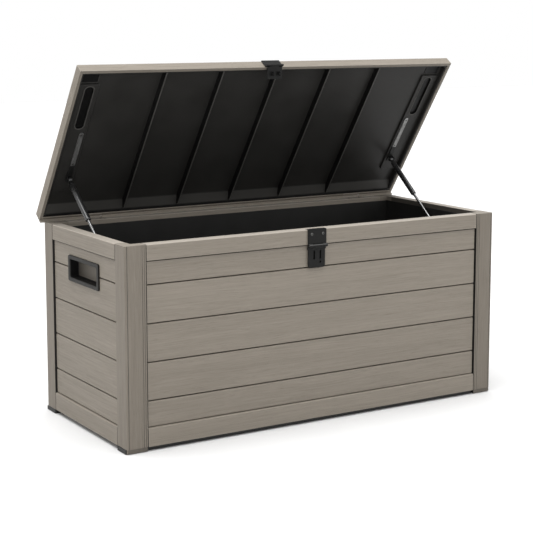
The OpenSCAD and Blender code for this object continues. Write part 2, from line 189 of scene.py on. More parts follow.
def moulded(name, colour, rough, pitch=0.0011, depth=0.00006, wear_and_highlight=0.3, shine=0.5,
             deep=None, painted_highlight=None):
    """Moulded plastic or coated metal: a fine texture, cloudy gloss and paler edges, partly wear and partly a
    painted highlight.

    The marks on a face mix it towards the colour deep, a painted shade, and towards the highlight's colour, a
    painted highlight.
    """
    f = Finish(name, IOR=1.47, Specular_IOR_Level=shine)
    at = f.local()
    fine = f.noise(at, (1 / pitch,) * 3, 2)
    cloud = f.noise(at, (14, 14, 14), 3)
    scuff = f.noise(at, (70, 70, 70), 4, 0.7)
    pale = tuple(min(1, 2.6 * c + 0.02) for c in colour[:3]) + (1.0,)
    tinted = f.mix(f.spread(cloud, 0.3, 0.7, 0.0, 0.08), colour, pale)
    # Paler edges, partly wear and partly a painted highlight.
    edge_wear_and_highlight = f.math("MULTIPLY", f.edge_mask(0.0012), f.spread(scuff, 0.35, 0.75, wear_and_highlight * 0.4, wear_and_highlight))
    tinted = f.mix(edge_wear_and_highlight, tinted, pale)
    # Painted shade, then a painted highlight, on the faces marked for each.
    if deep:
        tinted = f.mix(f.stored("painted_shade"), tinted, deep)
    if painted_highlight:
        tinted = f.mix(f.stored("painted_highlight"), tinted, painted_highlight)
    f.put(f.shader.inputs["Base Color"], tinted)
    gloss = f.math("ADD", f.spread(cloud, 0.3, 0.7, rough - 0.05, rough + 0.05),
                   f.spread(scuff, 0.4, 0.8, 0.0, 0.08))
    f.put(f.shader.inputs["Roughness"], gloss)
    f.bump(fine, depth, 0.6)
    return f.material


def bare_metal(name, colour, rough, drawn=(720, 720, 720), depth=0.00002):
    """Plated steel, with drawing marks at the given cycles a metre and cloudy gloss."""
    f = Finish(name, Metallic=1.0)
    at = f.local()
    marks = f.noise(at, drawn, 3, 0.6)
    cloud = f.noise(at, (90, 90, 90), 3, 0.6)
    dull = tuple(0.62 * c for c in colour[:3]) + (1.0,)
    tinted = f.mix(f.spread(cloud, 0.35, 0.75, 0.0, 0.55), colour, dull)
    # Painted shade on the faces marked for it, such as a screw head's recess.
    tinted = f.mix(f.stored("painted_shade"), tinted, METAL_PAINTED_SHADE)
    f.put(f.shader.inputs["Base Color"], tinted)
    f.put(f.shader.inputs["Roughness"],
          f.math("ADD", f.spread(cloud, 0.3, 0.7, rough * 0.8, rough * 1.3),
                 f.spread(marks, 0.4, 0.7, 0.0, 0.06)))
    f.bump(marks, depth, 0.5)
    return f.material


BOARD = wood_look("board_grain", rgb(0.230, 0.203, 0.168), rgb(0.144, 0.125, 0.101),
                  rgb(0.42, 0.385, 0.34))
FRAME = wood_look("frame_grain", rgb(0.187, 0.164, 0.135), rgb(0.114, 0.098, 0.079),
                  rgb(0.26, 0.235, 0.20))
LINER = moulded("liner_plastic", rgb(0.0105, 0.0102, 0.0096), 0.50, 0.0014, shine=0.25)
# In the next three, deep is the colour of painted shade and the last colour is that of a painted highlight.
LID_INNER = moulded("lid_inner_plastic", rgb(0.0165, 0.0158, 0.0146), 0.42, 0.0012, wear_and_highlight=0.9,
                    shine=0.2, deep=rgb(0.0022, 0.0021, 0.0020), painted_highlight=rgb(0.058, 0.056, 0.052))
FOOT = moulded("foot_plastic", rgb(0.010, 0.010, 0.0095), 0.50, 0.0015, wear_and_highlight=0.7, shine=0.4)
GRIP = moulded("grip_plastic", rgb(0.021, 0.0205, 0.019), 0.52, 0.0008, wear_and_highlight=0.15, shine=0.15,
               deep=rgb(0.0030, 0.0028, 0.0026), painted_highlight=rgb(0.165, 0.147, 0.122))
COATED = moulded("black_coated_metal", rgb(0.0075, 0.0075, 0.0072), 0.38, 0.0006, 0.00003,
                 wear_and_highlight=0.9, shine=0.14, painted_highlight=rgb(0.105, 0.105, 0.102))
STRUT_PAINT = moulded("strut_paint", rgb(0.008, 0.008, 0.008), 0.26, 0.003, 0.00001,
                      shine=1.0)
HINGE_PAINT = moulded("hinge_paint", rgb(0.185, 0.163, 0.137), 0.45, 0.0007, 0.00003,
                      shine=0.4)
CHROME = bare_metal("rod_chrome", rgb(0.21, 0.21, 0.21), 0.24, (144, 144, 144))
ZINC = bare_metal("zinc_plate", rgb(0.26, 0.26, 0.255), 0.50, (96, 720, 720))
SCREW = bare_metal("dull_screw", rgb(0.12, 0.12, 0.117), 0.50, (720, 720, 720))

# ---------------------------------------------------------------- mesh tools


def cad_shape(node):
    """A bmesh of a CAD node, with each flat face whole again."""
    bm = bmesh.new()
    bm.from_mesh(frame["nodes"][node].data)
    bmesh.ops.remove_doubles(bm, verts=bm.verts, dist=1e-6)
    bmesh.ops.dissolve_limit(bm, angle_limit=math.radians(0.5), verts=bm.verts, edges=bm.edges)
    return bm


def round_edges(bm, width, segments=2, sharper_than=28):
    """Rounds the outward edges that turn by more than an angle, in degrees."""
    limit = math.radians(sharper_than)
    edges = [e for e in bm.edges
             if len(e.link_faces) == 2 and e.is_convex and e.calc_face_angle(0) > limit]
    bmesh.ops.bevel(bm, geom=edges, offset=width, offset_type="OFFSET", segments=segments,
                    profile=0.5, affect="EDGES", clamp_overlap=False)
    return bm


def block(bm, low, high):
    """Adds a box between two corners and returns its corners."""
    low, high = Vector(low), Vector(high)
    made = bmesh.ops.create_cube(bm, size=1)["verts"]
    for v in made:
        v.co = Vector(low[i] + (high[i] - low[i]) * (v.co[i] + 0.5) for i in range(3))
    return made


def join(bm, other):
    """Moves one bmesh into another."""
    mesh = bpy.data.meshes.new("scratch")
    other.to_mesh(mesh)
    other.free()
    bm.from_mesh(mesh)
    bpy.data.meshes.remove(mesh)


def loft(bm, loops, ring=False):
    """Joins closed loops of equal length into a skin.

    Its ends are filled, or with ring its last loop meets the first, as round a hole.
    """
    rings = [[bm.verts.new(p) for p in loop] for loop in loops]
    for a, b in zip(rings, rings[1:] + (rings[:1] if ring else [])):
        for i in range(len(a)):
            j = (i + 1) % len(a)
            bm.faces.new((a[i], a[j], b[j], b[i]))
    if not ring:
        bm.faces.new(list(reversed(rings[0])))
        bm.faces.new(rings[-1])
    return bm


def circle(r, steps):
    """Points (u, v) round a circle centred on the origin."""
    return [(r * math.cos(math.tau * i / steps), r * math.sin(math.tau * i / steps))
            for i in range(steps)]


def rounded_rect(w, h, r, steps=6):
    """Points (u, v) round a rectangle centred on the origin, with arcs at its corners."""
    r = min(r, w / 2 - 1e-5, h / 2 - 1e-5)
    points = []
    for k, (su, sv) in enumerate(((1, 1), (-1, 1), (-1, -1), (1, -1))):
        for i in range(steps + 1):
            a = math.radians(90 * k + 90 * i / steps)
            points.append((su * (w / 2 - r) + r * math.cos(a),
                           sv * (h / 2 - r) + r * math.sin(a)))
    return points


def lathe(bm, profile, steps=40):
    """Turns (radius, distance) points round +Z."""
    return loft(bm, [[Vector((x, y, s)) for x, y in circle(r, steps)] for r, s in profile])


# Angles in degrees that split a quarter turn in three and in four.
THIRDS = (0, 30, 60, 90)
QUARTERS = (0, 22.5, 45, 67.5, 90)


def quarter_round(r, angles):
    """(inset, rise) pairs at angles in degrees on a quarter round, which starts upright."""
    return [(r * (1 - math.cos(math.radians(a))), r * math.sin(math.radians(a)))
            for a in angles]


def add_grain(bm, seed, along, across, through):
    """Stores where each point lies along and across the grain, and the board's own tone."""
    dice = random.Random(seed)
    start = Vector([dice.uniform(0, 9) for _ in range(3)])
    tone = dice.uniform(-1, 1)
    grain_layer = bm.verts.layers.float_vector.new("grain")
    tone_layer = bm.verts.layers.float.new("tone")
    for v in bm.verts:
        v[grain_layer] = start + Vector((v.co.dot(along), v.co.dot(across), v.co.dot(through)))
        v[tone_layer] = tone


def add_painted_light(bm, *marks, name="painted_shade"):
    """Stores how strongly each face carries painted shade, or a painted highlight when the highlight's name is
    given; a mark is an amount and a test for a face.
    """
    layer = bm.loops.layers.float.get(name) or bm.loops.layers.float.new(name)
    for amount, test in marks:
        for face in bm.faces:
            if test(face):
                for corner in face.loops:
                    corner[layer] = amount


def piece(name, bm, material, body, replaces=(), smooth=32):
    """Makes the object, rides it on its body and hides the CAD nodes that it replaces."""
    bmesh.ops.recalc_face_normals(bm, faces=bm.faces)
    mesh = bpy.data.meshes.new(name)
    bm.to_mesh(mesh)
    bm.free()
    mesh.polygons.foreach_set("use_smooth", [True] * len(mesh.polygons))
    mesh.set_sharp_from_angle(angle=math.radians(smooth))
    mesh.materials.append(material)
    made = bpy.data.objects.new(name, mesh)
    bpy.context.scene.collection.objects.link(made)
    weighted = made.modifiers.new("flat_faces", "WEIGHTED_NORMAL")
    weighted.keep_sharp = True
    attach(made, body)
    if replaces:
        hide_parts(*replaces)
    return made


def reskin(node, material, width, segments=2, grain=None, painted_shade=(), shape=None, painted_highlight=()):
    """Replaces a CAD node with the same shape, its edges rounded."""
    bm = cad_shape(node)
    if shape:
        shape(bm)
    round_edges(bm, width, segments)
    bm.normal_update()
    if grain:
        add_grain(bm, node, *grain)
    if painted_shade:
        add_painted_light(bm, *painted_shade)
    if painted_highlight:
        add_painted_light(bm, *painted_highlight, name="painted_highlight")
    return piece(node + "_skin", bm, material, node_body[node], (node,))


# ---------------------------------------------------------------- wood-look parts

# Which way the grain runs, then which way is across it and through it.
ALONG_X = (X, Z, Y)
ALONG_Y = (Y, Z, X)
ALONG_Z = (Z, X, Y)
LID_TURN = OPEN_LID.to_3x3()
rows = range(1, 6)


def shaded_ends(axis, amount, tilt=0.3):
    """Marks with painted shade the faces that look along an axis, which close a seam or a gap."""
    return ((amount, lambda face: abs(face.normal.dot(axis)) > tilt),)


def open_ends(axis, outward, by=1.7 * MM, depth=5 * MM, near=0.1 * MM):
    """Draws the outer corners of a rail's ends inwards, which opens a seam at each post."""
    def shape(bm):
        reach = [v.co.dot(axis) for v in bm.verts]
        face = max(v.co.dot(outward) for v in bm.verts)
        low, high = min(reach), max(reach)
        for v, at in zip(bm.verts, reach):
            if face - v.co.dot(outward) > depth:
                continue
            if at - low < near:
                v.co += axis * by
            elif high - at < near:
                v.co -= axis * by
    return shape


def squared(shape):
    """Applies a shape, then fills the rear rail's eased corner, which the drip lip passes."""
    below_top, before_back = 2.9 * MM, 3.1 * MM

    def both(bm):
        shape(bm)
        top, back = (max(v.co[i] for v in bm.verts) for i in (2, 1))
        for v in bm.verts:
            if top - v.co.z < below_top and back - v.co.y < before_back:
                v.co.y = back
    return both


def post_painted_shade(node):
    """Paints shade on the steps of a post that carry the boards' ends, which show through the gaps, and in the
    grooves in its face.
    """
    low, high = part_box(node)
    floor_low, floor_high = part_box("floor_panel")
    middle = (floor_low + floor_high) / 2
    # The outer corner of the post, and the way out from it along x and y.
    outer = [(low[i], -1) if low[i] + high[i] < 2 * middle[i] else (high[i], 1)
             for i in (0, 1)]
    deep, flank = 15 * MM, 40 * MM
    groove_low, groove_high = 0.15 * MM, 1.4 * MM

    def sunk(face):
        at, n = face.calc_center_median(), face.normal
        for i, (edge, sign) in enumerate(outer):
            inset = abs(at[i] - edge)
            if (n[i] * sign > 0.9 and inset > deep) or (n[i] * sign < -0.9 and inset > flank):
                return True
        return False

    def grooved(near, far):
        def test(face):
            at = face.calc_center_median()
            inset = groove_low < abs(at.y - outer[1][0]) < groove_high
            return (inset and abs(face.normal.z) < 0.1
                    and near < abs(at.x - outer[0][0]) < far)
        return test

    corner_groove, face_grooves = grooved(5 * MM, 9 * MM), grooved(9 * MM, 90 * MM)
    return (1.0, sunk), (0.85, corner_groove), (0.45, face_grooves)


def facing(amount, axis, least=0.5):
    """Marks the faces that look along a direction."""
    return ((amount, lambda face: face.normal.dot(axis) > least),)


def rail_painted_shade(rail, wall, along, outward):
    """Paints shade on a rail's ends, in the seam under a top rail and on a side rail's inner face."""
    marks = shaded_ends(along, 0.85)
    if rail == "top":
        marks += facing(0.85, -Z)
        if wall in ("left", "right"):
            marks += facing(0.75, -outward, 0.9)
    return marks


for wall, grain, outward in (("front", ALONG_X, -Y), ("rear", ALONG_X, Y),
                             ("left", ALONG_Y, -X), ("right", ALONG_Y, X)):
    for row in rows:
        # Painted shade on each board's ends, in the gaps at the posts, and on the top board's upper faces, under
        # the top rail.
        painted_shade = shaded_ends(grain[0], 1.0, 0.9)
        if row == rows[-1]:
            painted_shade += facing(0.7, Z, 0.6)
        reskin(f"{wall}_board_{row}", BOARD, 0.7 * MM, 2, grain, painted_shade)
    for rail in ("top", "bottom"):
        shape, width = open_ends(grain[0], outward), 1.0 * MM
        if (rail, wall) == ("top", "rear"):
            shape, width = squared(shape), 0.5 * MM
        # A top rail gets a painted highlight on its upper faces.
        reskin(f"{rail}_rail_{wall}", BOARD, width, 3, grain,
               rail_painted_shade(rail, wall, grain[0], outward), shape=shape,
               painted_highlight=facing(0.45, Z) if rail == "top" else ())
for end in ("front", "rear"):
    for side in ("left", "right"):
        node = f"post_{end}_{side}"
        # A painted highlight on each post's top.
        reskin(node, FRAME, 0.45 * MM, 2, ALONG_Z, post_painted_shade(node), painted_highlight=facing(0.5, Z, 0.9))


def hinge_cheeks(bm):
    """Closes the ends of the drip lip's cut-outs, beside the hinge knuckles."""
    # (y, z) in mm from the hinge's axis with the lid shut: a slice of the drip lip.
    outline = [(-4.2, 0.75), (-4.2, -6.3), (-2.5, -7.8), (1.7, -1.2), (0.6, 0.75)]
    gap, thick, leaf_length = 0.4 * MM, 1.2 * MM, 60 * MM
    leaves_end = shut_box("hinge_leaves_lid")[1].x
    for side in (-1, 1):
        middle = side * (leaves_end - leaf_length / 2)
        for end in (-1, 1):
            near = middle + end * (leaf_length / 2 + gap)
            cheek = bmesh.new()
            loft(cheek, [[OPEN_LID @ Vector((x, hinge_at.y + y * MM, hinge_at.z + z * MM))
                          for y, z in outline] for x in (near, near + end * thick)])
            bmesh.ops.recalc_face_normals(cheek, faces=cheek.faces)
            join(bm, cheek)


# Painted shade on the rim's underside, which faces down.
reskin("lid_shell", BOARD, 0.6 * MM, 3, (X, LID_TURN @ Y, LID_TURN @ Z),
       facing(0.3, LID_TURN @ -Z, 0.9), shape=hinge_cheeks)

# ---------------------------------------------------------------- liner, floor and feet

for wall in ("front", "rear", "left", "right"):
    reskin(f"liner_{wall}", LINER, 1.2 * MM, 3)
reskin("floor_panel", LINER, 1.0 * MM)
reskin("base_runners", FOOT, 1.5 * MM, 3)
reskin("feet", FOOT, 1.8 * MM, 3)

# ---------------------------------------------------------------- grips


def grip(side, sign):
    """A bezel with a rounded lip round a cup with sloped walls and a filleted floor."""
    node = f"handle_{side}"
    low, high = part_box(node)
    middle = (low + high) / 2
    outer_x = high.x if sign > 0 else low.x
    bezel_w, bezel_h, depth = high.y - low.y, high.z - low.z, high.x - low.x
    rim_w, rim_h = bezel_w - 24 * MM, bezel_h - 21 * MM
    plate, wall, edge, lip, sole = 5 * MM, 3 * MM, 1.8 * MM, 2.6 * MM, 3 * MM
    cup_w, cup_h, cup_depth = rim_w - 3 * MM, rim_h - 3 * MM, depth - wall
    back = (rim_w + 2 * wall, rim_h + 2 * wall, 4 * MM)
    # Each loop: width, height, corner radius, depth inwards from the outer face.
    shape = [(*back, depth), (*back, plate), (bezel_w, bezel_h, 6 * MM, plate)]
    shape += [(bezel_w - 2 * i, bezel_h - 2 * i, 6 * MM - i * 0.5, edge - w)
              for i, w in quarter_round(edge, QUARTERS)]
    shape += [(rim_w + 2 * lip - 2 * i, rim_h + 2 * lip - 2 * i, 7 * MM - i, w)
              for w, i in quarter_round(lip, QUARTERS)]
    shape += [(cup_w - 2 * i, cup_h - 2 * i, 5 * MM - i * 0.6, cup_depth - sole + w)
              for i, w in quarter_round(sole, THIRDS)]
    bm = bmesh.new()
    loft(bm, [[Vector((outer_x - sign * d, middle.y + u, middle.z + v))
               for u, v in rounded_rect(w, h, r)] for w, h, r, d in shape])
    bm.normal_update()
    bmesh.ops.recalc_face_normals(bm, faces=bm.faces)

    def depth_at(face):
        return abs(face.calc_center_median().x - outer_x)

    # Painted shade on the cup's walls and floor, deeper than the lip.
    add_painted_light(bm, (1.0, lambda face: lip + 0.2 * MM < depth_at(face) < depth - 0.2 * MM))
    # The cup's back wall gets a painted highlight, strongest at its front end and fading towards its rear end.
    shaded = bm.loops.layers.float.new("painted_highlight")
    for face in bm.faces:
        if abs(depth_at(face) - cup_depth) < 0.3 * MM and abs(face.normal.x) > 0.95:
            for corner in face.loops:
                corner[shaded] = 1.0 - 0.75 * (corner.vert.co.y - low.y) / bezel_w
    piece(node + "_skin", bm, GRIP, node_body[node], (node,), smooth=50)


grip("left", -1)
grip("right", 1)

# ---------------------------------------------------------------- lid liner

lid_lo, lid_hi = shut_box("lid_liner")
LID_FACE = lid_hi.z - 4 * MM  # the flat of the liner, which faces down when the lid is shut
STRIP_TOP = LID_FACE - 5.5 * MM  # the face of the raised strip beside each strut
LID_MID = (lid_lo + lid_hi) / 2


def lid_piece(name, bm, material, replaces=(), smooth=32):
    """Turns a shape drawn with the lid shut to where the lid stands, and makes the piece."""
    bmesh.ops.transform(bm, matrix=OPEN_LID, verts=bm.verts)
    return piece(name, bm, material, "lid", replaces, smooth)


def lid_panel():
    """The liner's panel: an upstand all round, and a fillet down to the flat."""
    w, h = lid_hi.x - lid_lo.x, lid_hi.y - lid_lo.y
    upstand, fillet = 5 * MM, 3 * MM
    # Each loop: inset from the edge, corner radius, height.
    shape = [(0, 1 * MM, lid_hi.z), (0, 1 * MM, lid_lo.z + 1 * MM), (1 * MM, 2 * MM, lid_lo.z),
             (upstand - 1 * MM, 5 * MM, lid_lo.z), (upstand, 6 * MM, lid_lo.z + 1 * MM)]
    shape += [(upstand + i, 7 * MM, LID_FACE - fillet + rise)
              for i, rise in quarter_round(fillet, THIRDS)]
    bm = bmesh.new()
    loft(bm, [[Vector((LID_MID.x + u, LID_MID.y + v, z))
               for u, v in rounded_rect(w - 2 * inset, h - 2 * inset, r)]
              for inset, r, z in shape])
    # Painted shade on the upstand along the rear edge, at the hinge line.
    add_painted_light(bm, (1.0, lambda face: face.calc_center_median().y > lid_hi.y - upstand))
    lid_piece("lid_liner_panel", bm, LID_INNER, ("lid_liner",), 50)


def lid_ribs():
    """Five tapered ribs across the panel, their crests and ends rounded."""
    pitch, base, crest, each_side = 176.5 * MM, 9.5 * MM, 4.0 * MM, 2
    front, back = lid_lo.y + 4 * MM, lid_hi.y - 10 * MM
    bm = bmesh.new()
    for i in range(-each_side, each_side + 1):
        x = LID_MID.x + i * pitch
        corners = block(bm, (x - base / 2, front, lid_lo.z + 1 * MM),
                        (x + base / 2, back, LID_FACE + 1 * MM))
        for v in corners:
            if v.co.z < LID_FACE:
                v.co.x = x + (v.co.x - x) * crest / base
    round_edges(bm, 1.0 * MM, 3)
    bm.normal_update()
    # Painted shade on the ribs' sides and a painted highlight on their crests.
    add_painted_light(bm, (0.9, lambda face: abs(face.normal.x) > 0.8))
    add_painted_light(bm, (0.8, lambda face: face.normal.z < -0.6), name="painted_highlight")
    lid_piece("lid_liner_ribs", bm, LID_INNER)


def lid_ramp():
    """The slope that rises to the liner's rear edge."""
    foot, edge = lid_hi.y - 33 * MM, lid_hi.y - 5 * MM
    low = LID_FACE - 13 * MM
    # (y, z) from inside the panel, down the slope and back behind its edge.
    outline = [(foot - 4 * MM, LID_FACE + 1 * MM), (foot - 3 * MM, LID_FACE - 0.2 * MM),
               (foot, LID_FACE - 0.8 * MM), (edge - 3 * MM, low + 1.6 * MM),
               (edge - 1.6 * MM, low + 0.4 * MM), (edge, low), (edge + 1 * MM, low),
               (edge + 1 * MM, LID_FACE + 1 * MM)]
    bm = bmesh.new()
    loft(bm, [[Vector((x, y, z)) for y, z in outline]
              for x in (lid_lo.x + 4 * MM, lid_hi.x - 4 * MM)])
    bm.normal_update()
    # Painted shade on the narrow flat past the slope's edge, and a painted highlight on the slope.
    add_painted_light(bm, (1.0, lambda face: abs(face.normal.z) > 0.99
                 and face.calc_center_median().y > edge))
    add_painted_light(bm, (0.55, lambda face: abs(face.normal.z) > 0.8 and abs(face.normal.y) > 0.3),
            name="painted_highlight")
    lid_piece("lid_liner_ramp", bm, LID_INNER, (), 40)


def lid_recesses(x, far):
    """A shallow recess with a low lip between each strip and the lid's free edge, with painted shade on its floor
    and inner wall.
    """
    near, width = lid_lo.y + 6.5 * MM, 50 * MM
    middle, length = (near + far) / 2, far - near
    # Each loop: inset from the edge, height.
    shape = [(0, LID_FACE + 1 * MM), (0, LID_FACE - 1.2 * MM), (0.6 * MM, LID_FACE - 1.8 * MM),
             (1.6 * MM, LID_FACE - 1.8 * MM), (2.2 * MM, LID_FACE - 1.2 * MM),
             (2.2 * MM, LID_FACE - 0.3 * MM)]
    bm = bmesh.new()
    for side in (-1, 1):
        loft(bm, [[Vector((side * x + u, middle + v, z))
                   for u, v in rounded_rect(width - 2 * i, length - 2 * i, 4 * MM - i)]
                  for i, z in shape])
    bmesh.ops.recalc_face_normals(bm, faces=bm.faces)
    # Painted shade on the recess's floor and inner wall, and a painted highlight on its lip.
    add_painted_light(bm, (1.0, lambda face: LID_FACE - 1.1 * MM < face.calc_center_median().z
                 < LID_FACE - 0.2 * MM))
    add_painted_light(bm, (0.25, lambda face: face.calc_center_median().z < LID_FACE - 1.7 * MM),
            name="painted_highlight")
    return bm


def lid_frames():
    """A raised strip beside each strut, with a lipped slot, and a recess beyond it."""
    strip = (lid_hi.x - 36 * MM, LID_MID.y - 19.5 * MM)
    slot_at = (lid_hi.x - 40 * MM, LID_MID.y - 126 * MM)
    slot_reach, recess_end = 71 * MM, strip[1] - 188 * MM

    def loops(side, shape):
        return [[Vector((side * (x + u * MM), y + v * MM, z)) for u, v in rounded_rect(w, h, r)]
                for w, h, r, z, (x, y) in shape]

    # Each loop: width, length and corner radius in mm, height, middle. They go round the
    # strip, over its face to the slot's lip and down the slot's wall.
    frame_shape = [(62, 371, 6, LID_FACE + 1 * MM, strip),
                   (62, 371, 6, STRIP_TOP + 1.5 * MM, strip),
                   (60, 369, 6, STRIP_TOP + 0.3 * MM, strip),
                   (59, 368, 6, STRIP_TOP, strip),
                   (31, 147, 14, STRIP_TOP, slot_at),
                   (30, 146, 13.6, STRIP_TOP - 0.9 * MM, slot_at),
                   (26.4, 142.4, 12, STRIP_TOP - 0.9 * MM, slot_at),
                   (24, 140, 10.8, STRIP_TOP + 0.4 * MM, slot_at),
                   (23, 139, 10.4, LID_FACE + 1 * MM, slot_at)]
    # A plug at the bottom of each slot, all in painted shade.
    floor_shape = [(24, 140, 10.8, LID_FACE - 0.4 * MM, slot_at),
                   (24, 140, 10.8, LID_FACE + 1 * MM, slot_at)]
    bm, floors = bmesh.new(), bmesh.new()
    for side in (-1, 1):
        loft(bm, loops(side, frame_shape), ring=True)
        loft(floors, loops(side, floor_shape))
    for made in (bm, floors):
        bmesh.ops.recalc_face_normals(made, faces=made.faces)

    def slot_wall(face):
        at = face.calc_center_median()
        return (at.z > STRIP_TOP + 0.6 * MM
                and math.dist((abs(at.x), at.y), slot_at) < slot_reach)

    # Painted shade on the slot's walls and a painted highlight on its lip.
    add_painted_light(bm, (1.0, slot_wall))
    add_painted_light(bm, (0.7, lambda face: face.calc_center_median().z < STRIP_TOP - 0.2 * MM),
            name="painted_highlight")
    add_painted_light(floors, (1.0, lambda face: True))
    join(bm, floors)
    join(bm, lid_recesses(strip[0], recess_end))
    lid_piece("lid_liner_frames", bm, LID_INNER, (), 40)


lid_panel()
lid_ribs()
lid_ramp()
lid_frames()

# ---------------------------------------------------------------- gas struts and brackets


def along(origin, direction):
    """A matrix that takes +Z to a direction and keeps +X."""
    z = Vector(direction).normalized()
    y = z.cross(X).normalized()
    turn = Matrix((X, y, z)).transposed().to_4x4()
    return Matrix.Translation(origin) @ turn


def cross_rod(bm, x0, x1, radius, z, ease=0.4 * MM, steps=32):
    """A short round bar along X through a height z on the strut's own axis."""
    made = bmesh.new()
    lathe(made, [(radius - ease, x0), (radius, x0 + ease), (radius, x1 - ease),
                 (radius - ease, x1)], steps)
    place = Matrix.Translation((0, 0, z)) @ Matrix.Rotation(math.pi / 2, 4, "Y")
    bmesh.ops.transform(made, matrix=place, verts=made.verts)
    join(bm, made)


def strut(side):
    """A painted tube with its neck and eye, and a bright rod with its socket."""
    pivot = Vector(joints[f"strut_pivot_{side}"]["pos_m"])
    place = along(pivot, joints[f"rod_slide_{side}"]["axis"])
    to_strut = place.inverted()
    rod_points = frame["nodes"][f"strut_rod_{side}"].data.vertices
    socket_z = max((to_strut @ v.co).z for v in rod_points) - 7 * MM
    tube_r, bore_r, rod_r = 8 * MM, 6.5 * MM, 4 * MM
    tube_end = 156 * MM
    bm = bmesh.new()
    # (radius, distance from the pivot): the eye's stem, the neck, the tube, its rolled end
    # and back up the bore.
    profile = [(2 * MM, 5 * MM), (4.6 * MM, 6 * MM), (4.6 * MM, 11 * MM), (6.2 * MM, 12 * MM),
               (6.6 * MM, 12.6 * MM), (6.6 * MM, 14 * MM), (7.4 * MM, 14.6 * MM),
               (tube_r, 16 * MM),
               (tube_r, 138 * MM), (7.5 * MM, 139.2 * MM), (7.5 * MM, 140.6 * MM),
               (tube_r, 141.8 * MM), (tube_r, tube_end - 3 * MM),
               (7.6 * MM, tube_end - 1.4 * MM), (6.6 * MM, tube_end - 0.3 * MM),
               (5.4 * MM, tube_end), (rod_r + 0.15 * MM, tube_end),
               (rod_r + 0.15 * MM, tube_end - 4 * MM), (bore_r, tube_end - 4 * MM),
               (bore_r, 18 * MM), (2 * MM, 18 * MM)]
    lathe(bm, profile)
    cross_rod(bm, -5.5 * MM, 5.5 * MM, 7 * MM, 0, 1.0 * MM)
    bmesh.ops.transform(bm, matrix=place, verts=bm.verts)
    piece(f"strut_tube_{side}_skin", bm, STRUT_PAINT, f"strut_tube_{side}",
          (f"strut_tube_{side}",), 40)
    bm = bmesh.new()
    piston = tube_end - 12 * MM
    lathe(bm, [(6.2 * MM, piston), (6.2 * MM, piston + 8 * MM), (rod_r, piston + 8 * MM),
               (rod_r, socket_z - 5 * MM)])
    bmesh.ops.transform(bm, matrix=place, verts=bm.verts)
    piece(f"strut_rod_{side}_skin", bm, CHROME, f"strut_rod_{side}",
          (f"strut_rod_{side}",), 40)
    bm = bmesh.new()
    lathe(bm, [(4.2 * MM, socket_z - 7.4 * MM), (5 * MM, socket_z - 6.8 * MM),
               (5 * MM, socket_z - 4 * MM), (3.4 * MM, socket_z)])
    cross_rod(bm, -5 * MM, 5 * MM, 6.9 * MM, socket_z, 1.2 * MM)
    bmesh.ops.transform(bm, matrix=place, verts=bm.verts)
    piece(f"strut_socket_{side}", bm, COATED, f"strut_rod_{side}", (), 40)


strut("left")
strut("right")


def holed_plate(outline, holes, z0, z1):
    """A flat plate between two heights, with round holes given as (x, y, radius)."""
    bm = bmesh.new()
    loops = [[Vector((x, y, z0)) for x, y in outline]]
    loops += [[Vector((x + u, y + v, z0)) for u, v in circle(r, 24)] for x, y, r in holes]
    edges = []
    for loop in loops:
        verts = [bm.verts.new(p) for p in loop]
        edges += [bm.edges.new((verts[i - 1], verts[i])) for i in range(len(verts))]
    bmesh.ops.triangle_fill(bm, use_beauty=True, use_dissolve=True, edges=edges, normal=(0, 0, -1))
    raised = bmesh.ops.extrude_face_region(bm, geom=bm.faces[:])["geom"]
    for v in raised:
        if isinstance(v, bmesh.types.BMVert):
            v.co.z = z1
    bmesh.ops.recalc_face_normals(bm, faces=bm.faces)
    return bm


